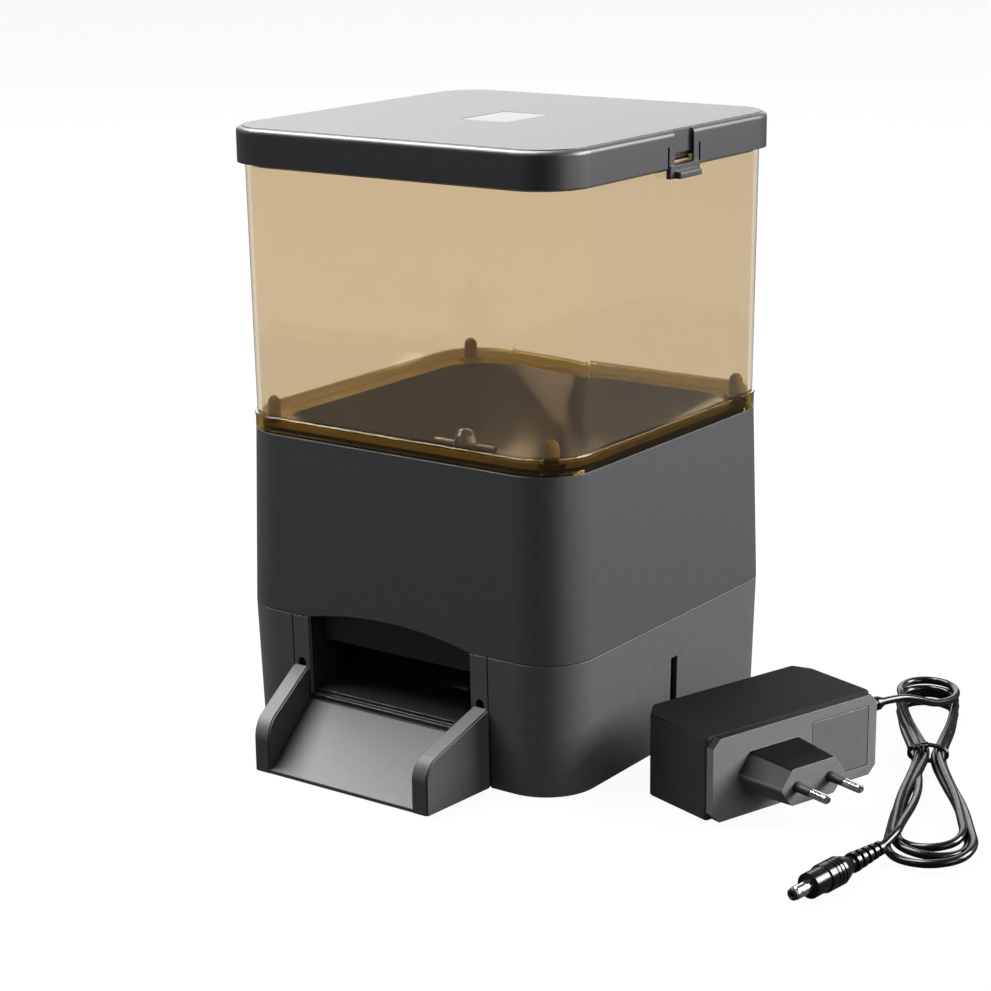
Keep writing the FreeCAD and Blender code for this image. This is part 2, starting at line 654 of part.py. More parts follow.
def cheek_band(drop, outer, inner):
    """Both cheeks between two insets in plan, under the cheek outline."""
    solid = cheek_outline(drop).extrude(Vector(140, 0, 0))
    solid.translate(Vector(-70, 0, 0))
    return solid.common(ramp_plan(outer, 0, 60)).cut(ramp_plan(inner, -1, 61))


def feed_ramp():
    cheeks = cheek_band(CHEEK_STEP, 0, CHEEK).fuse(cheek_band(0, 0.8, CHEEK - 0.8))
    profile = [
        (RAMP_BACK_Y, 0.4),
        (RAMP_BACK_Y, RAMP_TOP_Z),
        (RAMP_FRONT_Y + 1.5, RAMP_LOW_Z),
        (RAMP_FRONT_Y + 0.2, RAMP_LOW_Z - 0.6),
        (RAMP_FRONT_Y + 0.2, 0.4),
    ]
    floor = prism_x(profile, -60, 60).common(ramp_plan(CHEEK - 1.0, 0, 60))
    back = RAMP_BACK_Y - 2.2
    hollow = prism_x([(back, -1), (back, RAMP_TOP_Z - 4.0), (-126.0, 2.4), (-130.0, -1)], -60, 60)
    ramp = cheeks.fuse(floor).cut(hollow.common(ramp_plan(CHEEK, -2, 60)))
    for side in (-1, 1):
        x = MOUTH_X + side * HOOK_X
        half = HOOK_SLOT / 2 - 0.3
        neck = box((x - half, x + half), (RAMP_BACK_Y - 1, -86.2), (HOOK_LOW_Z + 0.3, 31.0))
        catch = box((x - half, x + half), (-87.9, -86.2), (12.8, 31.0))
        ramp = ramp.fuse([neck, catch])
    return ramp


# ---------------------------------------------------------------- electronics
def control_board():
    return box((-28, 28), (65.2, 66.8), (4.6, 44.0))


def board_components():
    return [
        box((-10, 6), (66.8, 68.4), (20, 32)),
        rod(4.0, (18, 66.8, 32), (0, 1, 0), 9),
        rod(3.0, (-20, 66.8, 34), (0, 1, 0), 8),
        box((10, 24), (66.8, 72.0), (12, 19)),
        box((-24, -16), (66.8, 71.0), (12, 17)),
    ]


def dc_jack():
    """Barrel socket: square body, round bore and centre contact."""
    body = box((-46, -34), (76.0, 90.3), (15.5, 26.5))
    flange = box((-48, -32), (85.0, 87.4), (13.5, 28.5))
    bore = rod(2.8, (-40, 81.0, 21), (0, 1, 0), 12)
    contact = rod(1.0, (-40, 80.5, 21), (0, 1, 0), 8.8)
    return body.fuse(flange).cut(bore).fuse(contact)


def feed_button():
    cap = rod(5.9, (34, 85.0, 24), (0, 1, 0), 7.2)
    flange = rod(7.6, (34, 83.6, 24), (0, 1, 0), 1.6)
    dish = Part.makeSphere(20, Vector(34, 111.2, 24))
    return cap.fuse(flange).cut(dish)


def button_switch():
    body = box((28, 40), (73.0, 80.4), (18, 30))
    plunger = rod(2.0, (34, 80.4, 24), (0, 1, 0), 1.5)
    return body.fuse(plunger)


def status_lens():
    stem = rod(2.1, (50, 84.0, 24), (0, 1, 0), 7.0)
    flange = rod(3.4, (50, 84.0, 24), (0, 1, 0), 2.0)
    return stem.fuse(flange)


# ---------------------------------------------------------------- mains adapter
def place_adapter(shape):
    """Move a shape from the adapter's own frame: x along its length, y towards its pins."""
    shape.rotate(Vector(0, 0, 0), Z_AXIS, ADAPTER_TURN)
    shape.translate(Vector(ADAPTER_CENTRE[0], ADAPTER_CENTRE[1], 0))
    return shape


PLUG_X = -13.0             # the plug block sits off the middle of the face
FACE_Y = -ADAPTER_DEPTH / 2
MID_Z = ADAPTER_HEIGHT / 2
BLOCK_REACH = 24.0


def adapter_case():
    half = ADAPTER_LENGTH / 2
    back = -FACE_Y
    cut = 9.0
    plan = [
        (-half, FACE_Y + 4.2),
        (half, FACE_Y + 4.2),
        (half, back - cut),
        (half - cut * 0.5, back),
        (-half + cut, back),
        (-half, back - cut),
    ]
    case = prism_z(plan, 0.3, ADAPTER_HEIGHT)
    edges = [e for e in case.Edges if abs(e.BoundBox.ZMax - e.BoundBox.ZMin) > 5]
    case = case.makeFillet(2.0, edges)
    rims = [e for e in case.Edges if e.BoundBox.ZMin > ADAPTER_HEIGHT - 0.1]
    rims += [e for e in case.Edges if e.BoundBox.ZMax < 0.4]
    case = case.makeChamfer(0.8, rims)
    return place_adapter(case)


def adapter_face():
    """Front cover with the plug block."""
    half = ADAPTER_LENGTH / 2
    plate = box((-half, half), (FACE_Y, FACE_Y + 3.9), (0.3, ADAPTER_HEIGHT))
    plate = plate.makeChamfer(4.0, [e for e in plate.Edges if abs(e.BoundBox.YLength - 3.9) < 0.01])
    panel = box((9, half - 5), (FACE_Y - 1, FACE_Y + 0.5), (5, ADAPTER_HEIGHT - 5))
    plate = plate.cut(panel)
    wide = 18.5
    tall = 8.2
    flat = wide - 6.2
    outline = [(-wide, 0), (-flat, tall), (flat, tall), (wide, 0), (flat, -tall), (-flat, -tall)]
    levels = []
    for y, grow in ((FACE_Y + 1.0, 1.16), (FACE_Y - BLOCK_REACH, 1.0)):
        points = [Vector(PLUG_X + x * grow, y, MID_Z + z * grow) for x, z in outline]
        levels.append(Part.makePolygon(points + points[:1]))
    plug = Part.makeLoft(levels, True, True)
    long_edges = [e for e in plug.Edges if e.BoundBox.YLength > 10]
    plug = plug.makeFillet(2.2, long_edges)
    cover = plate.fuse(plug)
    for side in (-1, 1):
        x = PLUG_X + side * PIN_SPACING / 2
        cover = cover.cut(rod(2.3, (x, FACE_Y - BLOCK_REACH - 1, MID_Z), (0, 1, 0), 12))
    return place_adapter(cover)


def mains_pins():
    pins = []
    for side in (-1, 1):
        profile = [(0, 0), (1.3, 0), (1.9, 0.8), (PIN_R, 1.8), (PIN_R, 9.4), (1.4, 9.4)]
        profile += [(1.4, PIN_LENGTH + 6), (0, PIN_LENGTH + 6)]
        tip = (PLUG_X + side * PIN_SPACING / 2, FACE_Y - BLOCK_REACH - PIN_LENGTH, MID_Z)
        pins.append(place_adapter(revolve(profile, tip, (0, 1, 0))))
    return pins


def pin_sleeves():
    """Tapered insulation round the root of each pin."""
    sleeves = []
    for side in (-1, 1):
        profile = [(1.4, 9.4), (PIN_R, 9.4), (1.9, 10.4), (2.3, PIN_LENGTH), (2.3, PIN_LENGTH + 6)]
        profile += [(1.4, PIN_LENGTH + 6)]
        tip = (PLUG_X + side * PIN_SPACING / 2, FACE_Y - BLOCK_REACH - PIN_LENGTH, MID_Z)
        sleeves.append(place_adapter(revolve(profile, tip, (0, 1, 0))))
    return sleeves


def adapter_label():
    half = ADAPTER_LENGTH / 2
    label = box((9.3, half - 5.3), (FACE_Y + 0.1, FACE_Y + 0.5), (5.3, ADAPTER_HEIGHT - 5.3))
    return place_adapter(label)


def ribbed_profile(radii, pitch):
    """Profile of a strain relief: fins on a tapering core. radii holds fin and core at both ends."""
    fin_a, core_a, fin_b, core_b = radii
    count = 5
    profile = [(0, 0)]
    for index in range(count):
        part = index / (count - 1)
        fin = fin_a + (fin_b - fin_a) * part
        core = core_a + (core_b - core_a) * part
        z = index * pitch
        profile += [(fin, z), (fin, z + pitch * 0.5), (core, z + pitch * 0.5), (core, z + pitch)]
    profile.append((0, count * pitch))
    return profile


def adapter_strain_relief():
    half = ADAPTER_LENGTH / 2
    start = place_adapter(Part.Vertex(half + 0.05, -8.0, 24.0).copy()).Point
    along = Vector(math.cos(math.radians(ADAPTER_TURN)), math.sin(math.radians(ADAPTER_TURN)), 0)
    relief = revolve(ribbed_profile((5.0, 3.6, 3.2, 2.4), 4.0), tuple(start), tuple(along))
    return relief, start + along * 20.0, along


# ---------------------------------------------------------------- cord
def tube(route, radius):
    """Round tube along straight runs joined by tangent arcs."""
    points = [Vector(*p) for p in route]
    edges = []
    radii = []
    here = points[0]
    for before, corner, after in zip(points, points[1:], points[2:]):
        back = before - corner
        onward = after - corner
        turn = math.pi - back.getAngle(onward)
        setback = 0.45 * min(back.Length, onward.Length)
        radii.append(setback / math.tan(turn / 2))
        first = corner + back * (setback / back.Length)
        last = corner + onward * (setback / onward.Length)
        bisect = (first + last) * 0.5 - corner
        reach = radii[-1] / math.cos(turn / 2) - radii[-1]
        middle = corner + bisect * (reach / bisect.Length)
        edges.append(Part.LineSegment(here, first).toShape())
        edges.append(Part.Arc(first, middle, last).toShape())
        here = last
    edges.append(Part.LineSegment(here, points[-1]).toShape())
    path = Part.Wire(edges)
    length = path.Length
    section = Part.Wire(
        Part.makeCircle(radius, points[0], (points[1] - points[0]).normalize())
    )
    solid = path.makePipeShell([section], True, True)
    print("tube length %.1f, volume ratio %.4f" % (length, solid.Volume / (math.pi * radius**2 * length)))
    print("  radii", [round(r, 1) for r in radii])
    return solid


def cord_hank():
    """Outer shape of the tied hank: a narrow upper end, a waist at the tie and a fanned lower end."""
    sides = [
        (0.0, 0.0),
        (0.03, 12.0),
        (0.08, 18.0),
        (0.15, 19.6),
        (0.28, 18.4),
        (0.45, 12.4),
        (0.61, 7.7),
        (0.77, 11.4),
        (0.90, 14.4),
        (0.97, 10.4),
        (1.0, 0.0),
    ]
    outline = [Vector(s * HANK_LENGTH, w, 0) for s, w in sides]
    outline += [Vector(s * HANK_LENGTH, -w, 0) for s, w in reversed(sides[1:-1])]
    curve = Part.BSplineCurve()
    curve.interpolate(Points=outline, PeriodicFlag=True)
    solid = Part.Face(Part.Wire(curve.toShape())).extrude(Vector(0, 0, HANK_HEIGHT - 0.3))
    rise = TIE_ALONG + 14.0
    low = HANK_LOW_HEIGHT - 0.3
    high = HANK_HEIGHT - 0.3
    above = [(-5, high + 1), (-5, low), (rise, low), (rise + 26.0, high), (rise + 26.0, high + 1)]
    solid = solid.cut(prism_y(above, -30, 30))
    solid.rotate(Vector(0, 0, 0), Z_AXIS, HANK_TURN)
    solid.translate(Vector(HANK_LOW[0], HANK_LOW[1], 0.3))
    return solid


def cord_tie():
    """Twist tie round the waist of the hank."""
    along = Vector(math.cos(math.radians(HANK_TURN)), math.sin(math.radians(HANK_TURN)), 0)
    centre = Vector(HANK_LOW[0], HANK_LOW[1], 0) + along * TIE_ALONG
    ring = block(1.5, 9.3, 0.9, 0.05, HANK_LOW_HEIGHT + 1.2)
    ring = ring.cut(block(1.6, 8.2, 0.8, 0.25, HANK_LOW_HEIGHT + 0.2))
    ring.rotate(Vector(0, 0, 0), Z_AXIS, HANK_TURN)
    ring.translate(centre)
    return ring


# ---------------------------------------------------------------- low-voltage plug
def along_plug(profile):
    """Turn a profile about the plug's axis. Heights are measured from the cord's entry to the tip."""
    turn = math.radians(DC_TURN)
    start = (DC_BACK[0], DC_BACK[1], DC_AXIS_Z)
    return revolve(profile, start, (math.cos(turn), math.sin(turn), 0))


def dc_plug_grip():
    profile = ribbed_profile((3.0, 2.3, 4.2, 3.0), 4.4)
    end = profile.pop()[1]
    profile += [(3.4, end), (5.2, end + 5.0), (6.0, end + 7.5)]
    for index in range(3):
        z = end + 9.0 + 2.2 * index
        profile += [(6.0, z), (5.5, z), (5.5, z + 0.8), (6.0, z + 0.8)]
    profile += [(6.0, end + 18.0), (5.3, end + 18.6), (5.3, end + 27.0), (2.8, end + 27.0)]
    profile += [(2.8, end + 20.0), (0, end + 20.0)]
    return along_plug(profile), end + 27.0


def dc_plug_barrel(front):
    profile = [(2.25, front - 7.0), (2.75, front - 7.0), (2.75, front + 9.0)]
    profile += [(2.55, front + 9.4), (2.25, front + 9.4)]
    return along_plug(profile)


def dc_plug_insulator(front):
    profile = [(1.05, front - 6.0), (2.2, front - 6.0), (2.2, front + 9.4), (2.5, front + 9.5)]
    profile += [(2.5, front + 10.6), (1.8, front + 11.0), (1.05, front + 11.0)]
    return along_plug(profile)


# ---------------------------------------------------------------- write the nodes
def main():
    os.makedirs("parts", exist_ok=True)
    save("lid_cover", lid_cover())
    save("lid_seal", lid_seal())
    save("lid_plate", lid_plate())
    save("lid_latch_right", lid_latch(1))
    save("lid_latch_left", lid_latch(-1))
    save("hopper_tank", hopper_tank())
    save("hopper_funnel", hopper_funnel())
    save("funnel_screws", [screw(x, y, 134.8, 16) for x, y in corners(POST_XY)])
    save("body_shell", body_shell())
    save("mid_deck", mid_deck())
    save("deck_screws", [screw(x, y, 74.2, 14) for x, y in corners(POST_XY)])
    save("rotor_housing", rotor_housing())
    save("portion_baffle", portion_baffle())
    save("portion_rotor", portion_rotor())
    save("agitator", agitator())
    save("rotor_shaft", rotor_shaft())
    save("shaft_bush", shaft_bush())
    save("drive_gear", drive_gear())
    save("motor_pinion", motor_pinion())
    save("gear_motor", gear_motor())
    save("motor_bracket", motor_bracket())
    save("base_shell", base_shell())
    save("outlet_panel", outlet_panel())
    save("inner_chute", inner_chute())
    save("base_plate", base_plate())
    save("base_screws", [screw(x, y, 0.4, 12) for x, y in corners(72.0)])
    save("rubber_feet", rubber_feet())
    save("feed_ramp", feed_ramp())
    save("control_board", control_board())
    save("board_components", board_components())
    save("dc_jack", dc_jack())
    save("feed_button", feed_button())
    save("button_switch", button_switch())
    save("status_lens", status_lens())
    save("adapter_case", adapter_case())
    save("adapter_face", adapter_face())
    save("mains_pins", mains_pins())
    save("pin_sleeves", pin_sleeves())
    save("adapter_label", adapter_label())
    relief, relief_end, relief_along = adapter_strain_relief()
    print("relief end", relief_end, "direction", relief_along)
    save("adapter_strain_relief", relief)
    save("cord_lead", tube(LEAD_ROUTE, CORD_R))
    save("cord_hank", cord_hank())
    save("cord_tail", tube(TAIL_ROUTE, CORD_R))
    save("cord_tie", cord_tie())
    grip, front = dc_plug_grip()
    save("dc_plug_grip", grip)
    save("dc_plug_barrel", dc_plug_barrel(front))
    save("dc_plug_insulator", dc_plug_insulator(front))


main()
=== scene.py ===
import math

import bpy
from mathutils import Matrix, Vector


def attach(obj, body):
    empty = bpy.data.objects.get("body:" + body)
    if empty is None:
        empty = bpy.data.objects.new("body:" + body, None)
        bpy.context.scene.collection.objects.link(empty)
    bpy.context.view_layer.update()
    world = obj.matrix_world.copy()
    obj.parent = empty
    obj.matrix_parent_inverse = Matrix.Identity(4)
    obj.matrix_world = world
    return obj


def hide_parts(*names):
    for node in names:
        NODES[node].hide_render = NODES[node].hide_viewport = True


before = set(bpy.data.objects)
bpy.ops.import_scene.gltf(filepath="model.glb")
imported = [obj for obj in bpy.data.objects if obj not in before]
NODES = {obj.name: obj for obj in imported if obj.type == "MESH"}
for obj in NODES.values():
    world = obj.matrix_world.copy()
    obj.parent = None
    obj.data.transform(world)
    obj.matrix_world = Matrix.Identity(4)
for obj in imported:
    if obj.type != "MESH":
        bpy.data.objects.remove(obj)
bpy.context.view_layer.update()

# Automatic pet feeder with its mains adapter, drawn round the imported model.
# Lengths are in metres. +Z is up, the feeding ramp faces -Y.

# ---------------------------------------------------------------- camera and studio
CAMERA_PLACE = Vector((0.6376, -0.8978, 0.4087))
CAMERA_YAW = math.radians(35.71)       # turn to the left of +Y
CAMERA_PITCH = math.radians(15.44)     # below the horizon
CAMERA_ROLL = math.radians(-0.677)
CAMERA_LENS = 88.28                    # mm
SENSOR_WIDTH = 36.0                    # mm
STUDIO_MIDDLE = (0.0, 0.0, 0.14)       # what the lights point at
FLOOR_SIZE = 30.0
FLOOR_DROP = 0.0004                    # the floor stays just clear of the rubber feet


def make_camera():
    ahead = Vector(
        (
            -math.sin(CAMERA_YAW) * math.cos(CAMERA_PITCH),
            math.cos(CAMERA_YAW) * math.cos(CAMERA_PITCH),
            -math.sin(CAMERA_PITCH),
        )
    )
    right = Vector((math.cos(CAMERA_YAW), math.sin(CAMERA_YAW), 0.0))
    up = right.cross(ahead)
    across = right * math.cos(CAMERA_ROLL) + up * math.sin(CAMERA_ROLL)
    above = up * math.cos(CAMERA_ROLL) - right * math.sin(CAMERA_ROLL)
    data = bpy.data.cameras.new("camera")
    data.sensor_width = SENSOR_WIDTH
    data.lens = CAMERA_LENS
    data.clip_start = 0.02
    data.clip_end = 60.0
    camera = bpy.data.objects.new("camera", data)
    turn = Matrix((across, above, -ahead)).transposed().to_4x4()
    camera.matrix_world = Matrix.Translation(CAMERA_PLACE) @ turn
    bpy.context.scene.collection.objects.link(camera)
    bpy.context.scene.camera = camera


def softbox(name, place, target, width, height, power):
    """Area light that shines from place towards target. The camera doesn't see it."""
    data = bpy.data.lights.new(name, "AREA")
    data.shape = "RECTANGLE"
    data.size = width
    data.size_y = height
    data.energy = power
    light = bpy.data.objects.new(name, data)
    light.location = place
    aim = Vector(target) - Vector(place)
    light.rotation_euler = aim.to_track_quat("-Z", "Y").to_euler()
    light.visible_camera = False
    bpy.context.scene.collection.objects.link(light)


def make_world():
    """White where it is seen directly or through the tank, and a weak fill elsewhere."""
    scene = bpy.context.scene
    scene.view_settings.view_transform = "Standard"
    world = bpy.data.worlds.new("studio")
    scene.world = world
    world.use_nodes = True
    tree = world.node_tree
    tree.nodes.clear()
    path = tree.nodes.new("ShaderNodeLightPath")
    seen = tree.nodes.new("ShaderNodeBackground")
    seen.inputs["Color"].default_value = (1.0, 1.0, 1.0, 1.0)
    seen.inputs["Strength"].default_value = 1.0
    fill = tree.nodes.new("ShaderNodeBackground")
    fill.inputs["Color"].default_value = (0.95, 0.97, 1.0, 1.0)
    fill.inputs["Strength"].default_value = 0.1
    straight = tree.nodes.new("ShaderNodeMath")
    straight.operation = "MAXIMUM"
    mix = tree.nodes.new("ShaderNodeMixShader")
    out = tree.nodes.new("ShaderNodeOutputWorld")
    tree.links.new(path.outputs["Is Camera Ray"], straight.inputs[0])
    tree.links.new(path.outputs["Is Transmission Ray"], straight.inputs[1])
    tree.links.new(straight.outputs[0], mix.inputs[0])
    tree.links.new(fill.outputs[0], mix.inputs[1])
    tree.links.new(seen.outputs[0], mix.inputs[2])
    tree.links.new(mix.outputs[0], out.inputs["Surface"])


def make_lights():
    softbox("key_right", (1.50, 1.10, 0.95), STUDIO_MIDDLE, 1.2, 0.9, 116.0)
    softbox("side_right", (1.9, -0.25, 0.54), STUDIO_MIDDLE, 0.8, 0.8, 13.0)
    softbox("rim_back", (-1.6, 2.3, 1.0), (0, 0, 0.25), 3.0, 1.3, 32.0)
    softbox("top", (-0.9, -0.1, 1.9), STUDIO_MIDDLE, 1.6, 1.6, 215.0)
    softbox("fill_front", (-0.7, -2.1, 0.7), STUDIO_MIDDLE, 1.2, 1.2, 3.0)


def make_floor():
    """Pale paper that is not mirrored in the feeder and throws no light back on it."""
    mesh = bpy.data.meshes.new("floor")
    half = FLOOR_SIZE / 2
    square = [(-half, -half, 0), (half, -half, 0), (half, half, 0), (-half, half, 0)]
    mesh.from_pydata(square, [], [(0, 1, 2, 3)])
    floor = bpy.data.objects.new("floor", mesh)
    floor.location.z = -FLOOR_DROP
    bpy.context.scene.collection.objects.link(floor)
    material, bsdf = shader("floor_paper", (0.022, 0.022, 0.022), 0.9)[:2]
    bsdf.inputs["Specular IOR Level"].default_value = 0.0
    bsdf.inputs["Emission Color"].default_value = (1.0, 1.0, 1.0, 1.0)
    bsdf.inputs["Emission Strength"].default_value = 0.95
    mesh.materials.append(material)
    floor.visible_glossy = False
    floor.visible_diffuse = False


# ---------------------------------------------------------------- material helpers
def shader(name, colour, roughness, metallic=0.0):
    """A Principled material with its shader, nodes and links. Colours are linear."""
    material = bpy.data.materials.new(name)
    material.use_nodes = True
    nodes = material.node_tree.nodes
    links = material.node_tree.links
    bsdf = nodes["Principled BSDF"]
    bsdf.inputs["Base Color"].default_value = (*colour, 1.0)
    bsdf.inputs["Roughness"].default_value = roughness
    bsdf.inputs["Metallic"].default_value = metallic
    return material, bsdf, nodes, links


def place_noise(nodes, links, scale, detail=2.0, stretch=(1.0, 1.0, 1.0)):
    """Noise in the piece's own metres; scale is waves per metre."""
    coords = nodes.new("ShaderNodeTexCoord")
    mapping = nodes.new("ShaderNodeMapping")
    mapping.inputs["Scale"].default_value = stretch
    noise = nodes.new("ShaderNodeTexNoise")
    noise.inputs["Scale"].default_value = scale
    noise.inputs["Detail"].default_value = detail
    links.new(coords.outputs["Object"], mapping.inputs["Vector"])
    links.new(mapping.outputs["Vector"], noise.inputs["Vector"])
    return noise


def vary_roughness(nodes, links, bsdf, noise, low, high):
    spread = nodes.new("ShaderNodeMapRange")
    spread.inputs["From Min"].default_value = 0.3
    spread.inputs["From Max"].default_value = 0.7
    spread.inputs["To Min"].default_value = low
    spread.inputs["To Max"].default_value = high
    links.new(noise.outputs["Fac"], spread.inputs["Value"])
    links.new(spread.outputs["Result"], bsdf.inputs["Roughness"])


def vary_colour(nodes, links, bsdf, noise, dark, light):
    ramp = nodes.new("ShaderNodeValToRGB")
    ramp.color_ramp.elements[0].position = 0.35
    ramp.color_ramp.elements[0].color = (*dark, 1.0)
    ramp.color_ramp.elements[1].position = 0.65
    ramp.color_ramp.elements[1].color = (*light, 1.0)
    links.new(noise.outputs["Fac"], ramp.inputs["Fac"])
    links.new(ramp.outputs["Color"], bsdf.inputs["Base Color"])


def add_bump(nodes, links, bsdf, noise, strength, depth, edge=0.0):
    """Relief from a noise. edge rounds the look of sharp edges by that radius."""
    bump = nodes.new("ShaderNodeBump")
    if edge:
        bevel = nodes.new("ShaderNodeBevel")
        bevel.samples = 4
        bevel.inputs["Radius"].default_value = edge
        links.new(bevel.outputs["Normal"], bump.inputs["Normal"])
    bump.inputs["Strength"].default_value = strength
    bump.inputs["Distance"].default_value = depth
    links.new(noise.outputs["Fac"], bump.inputs["Height"])
    links.new(bump.outputs["Normal"], bsdf.inputs["Normal"])


# ---------------------------------------------------------------- materials
TANK_WALL = (0.779, 0.675, 0.524)
# Foot colour: the thick plastic's deeper tint plus painted shade from the black body round it.
FOOT_TINT_AND_SHADE = (0.20, 0.125, 0.022)
FOOT_TOP = 0.1512                      # where the tank's thick foot ends
WALL_START = 0.1520                    # and where its thin wall has its full colour
# Funnel faces above this level get the paler amber, which is painted light.
RIM_PAINTED_LIGHT_LEVEL = 0.14679                    # just under the top of the funnel's flat rim


def moulded(name, colour, roughness, grain=2600.0, depth=0.00005, strength=0.3, edge=0.0005):
    """Injection-moulded plastic: spark-eroded grain, worn-smooth edges and a trace of flow mottling."""
    material, bsdf, nodes, links = shader(name, colour, roughness)
    dark = tuple(part * 0.96 for part in colour)
    light = tuple(part * 1.04 for part in colour)
    vary_colour(nodes, links, bsdf, place_noise(nodes, links, 220.0, 4.0), dark, light)
    wear = place_noise(nodes, links, 900.0, 3.0)
    vary_roughness(nodes, links, bsdf, wear, roughness - 0.02, roughness + 0.02)
    add_bump(nodes, links, bsdf, place_noise(nodes, links, grain, 3.0), strength, depth, edge)
    return material


def clear_amber():
    """Clear tinted plastic, pale in the wall. The thick foot that stands in the body is deeper, partly from
    its own tint and partly painted shade of the black body round it.
    """
    material, bsdf, nodes, links = shader("tank_amber", TANK_WALL, 0.02)
    bsdf.inputs["Transmission Weight"].default_value = 1.0
    bsdf.inputs["IOR"].default_value = 1.49
    coords = nodes.new("ShaderNodeTexCoord")
    split = nodes.new("ShaderNodeSeparateXYZ")
    above = nodes.new("ShaderNodeMapRange")
    above.inputs["From Min"].default_value = FOOT_TOP
    above.inputs["From Max"].default_value = WALL_START
    tint = nodes.new("ShaderNodeMix")
    tint.data_type = "RGBA"
    tint.inputs["A"].default_value = (*FOOT_TINT_AND_SHADE, 1.0)
    tint.inputs["B"].default_value = (*TANK_WALL, 1.0)
    links.new(coords.outputs["Object"], split.inputs["Vector"])
    links.new(split.outputs["Z"], above.inputs["Value"])
    links.new(above.outputs["Result"], tint.inputs["Factor"])
    links.new(tint.outputs["Result"], bsdf.inputs["Base Color"])
    add_bump(nodes, links, bsdf, place_noise(nodes, links, 14.0, 1.0), 0.06, 0.002, 0.0004)
    vary_roughness(nodes, links, bsdf, place_noise(nodes, links, 60.0, 2.0), 0.01, 0.035)
    return material


def amber_painted_shade():
    """Amber plastic with a polished face, painted nearly black: painted shade of the dark body under the
    funnel.
    """
    material = moulded("funnel_amber_painted_shade", (0.010, 0.007, 0.002), 0.12, 700.0, 0.00003, 0.12)
    bsdf = material.node_tree.nodes["Principled BSDF"]
    bsdf.inputs["Specular Tint"].default_value = (1.0, 0.78, 0.42, 1.0)
    bsdf.inputs["Specular IOR Level"].default_value = 0.18
    return material


def rim_amber_painted_light():
    """Amber of the funnel's rim and posts, painted paler than the slopes: painted light for the light that
    gets through the thin plastic.
    """
    material = moulded("rim_amber_painted_light", (0.14, 0.088, 0.004), 0.3, 700.0, 0.00003, 0.12)
    bsdf = material.node_tree.nodes["Principled BSDF"]
    bsdf.inputs["Specular Tint"].default_value = (1.0, 0.66, 0.20, 1.0)
    bsdf.inputs["Specular IOR Level"].default_value = 0.03
    return material


def black_painted_light_and_shade(name, side, top, roughness):
    """Black plastic with painted light and shade: upward faces are painted darker with less specular
    (painted shade), and the sides are painted paler (painted light).
    """
    material = moulded(name, side, roughness)
    nodes = material.node_tree.nodes
    links = material.node_tree.links
    bsdf = nodes["Principled BSDF"]
    geometry = nodes.new("ShaderNodeNewGeometry")
    split = nodes.new("ShaderNodeSeparateXYZ")
    # Painted shade mask: how far a face points up, which darkens the colour and cuts the specular.
    painted_shade_mask = nodes.new("ShaderNodeMapRange")
    painted_shade_mask.inputs["From Min"].default_value = 0.25
    painted_shade_mask.inputs["From Max"].default_value = 0.75
    links.new(geometry.outputs["True Normal"], split.inputs["Vector"])
    links.new(split.outputs["Z"], painted_shade_mask.inputs["Value"])
    # Painted light and shade: the colour goes from the paler side colour to the dark top colour by facing.
    painted_shade_mix = nodes.new("ShaderNodeMix")
    painted_shade_mix.data_type = "RGBA"
    painted_shade_mix.inputs["B"].default_value = (*top, 1.0)
    links.new(painted_shade_mask.outputs["Result"], painted_shade_mix.inputs["Factor"])
    links.new(bsdf.inputs["Base Color"].links[0].from_socket, painted_shade_mix.inputs["A"])
    links.new(painted_shade_mix.outputs["Result"], bsdf.inputs["Base Color"])
    # Painted shade: upward faces get less specular.
    gloss = nodes.new("ShaderNodeMapRange")
    gloss.inputs["To Min"].default_value = 0.5
    gloss.inputs["To Max"].default_value = 0.04
    links.new(painted_shade_mask.outputs["Result"], gloss.inputs["Value"])
    links.new(gloss.outputs["Result"], bsdf.inputs["Specular IOR Level"])
    return material


def metal(name, colour, roughness, stretch=(1.0, 1.0, 1.0)):
    """Turned or plated metal with fine tool lines."""
    material, bsdf, nodes, links = shader(name, colour, roughness, 1.0)
    wear = place_noise(nodes, links, 500.0, 3.0, stretch)
    vary_roughness(nodes, links, bsdf, wear, roughness * 0.7, roughness * 1.4)
    add_bump(nodes, links, bsdf, place_noise(nodes, links, 1500.0, 2.0, stretch), 0.12, 0.00003)
    return material


def rubber(name, colour, roughness=0.7):
    material, bsdf, nodes, links = shader(name, colour, roughness)
    wear = place_noise(nodes, links, 300.0, 4.0)
    vary_roughness(nodes, links, bsdf, wear, roughness - 0.1, roughness + 0.1)
    add_bump(nodes, links, bsdf, place_noise(nodes, links, 1800.0, 3.0), 0.3, 0.0001)
    return material


def cord_plastic():
    """Glossy PVC sheath with faint drawing marks and dust."""
    material, bsdf, nodes, links = shader("cord_pvc", (0.003, 0.003, 0.0035), 0.22)
    bsdf.inputs["Specular IOR Level"].default_value = 0.28
    vary_roughness(nodes, links, bsdf, place_noise(nodes, links, 220.0, 5.0), 0.17, 0.27)
    add_bump(nodes, links, bsdf, place_noise(nodes, links, 700.0, 2.0), 0.18, 0.00012)
    return material


def circuit_board():
    material, bsdf, nodes, links = shader("board_green", (0.01, 0.09, 0.03), 0.3)
    grid = nodes.new("ShaderNodeTexBrick")
    grid.inputs["Scale"].default_value = 160.0
    grid.inputs["Color1"].default_value = (0.01, 0.085, 0.028, 1.0)
    grid.inputs["Color2"].default_value = (0.012, 0.11, 0.035, 1.0)
    grid.inputs["Mortar"].default_value = (0.03, 0.18, 0.06, 1.0)
    coords = nodes.new("ShaderNodeTexCoord")
    links.new(coords.outputs["Object"], grid.inputs["Vector"])
    links.new(grid.outputs["Color"], bsdf.inputs["Base Color"])
    return material


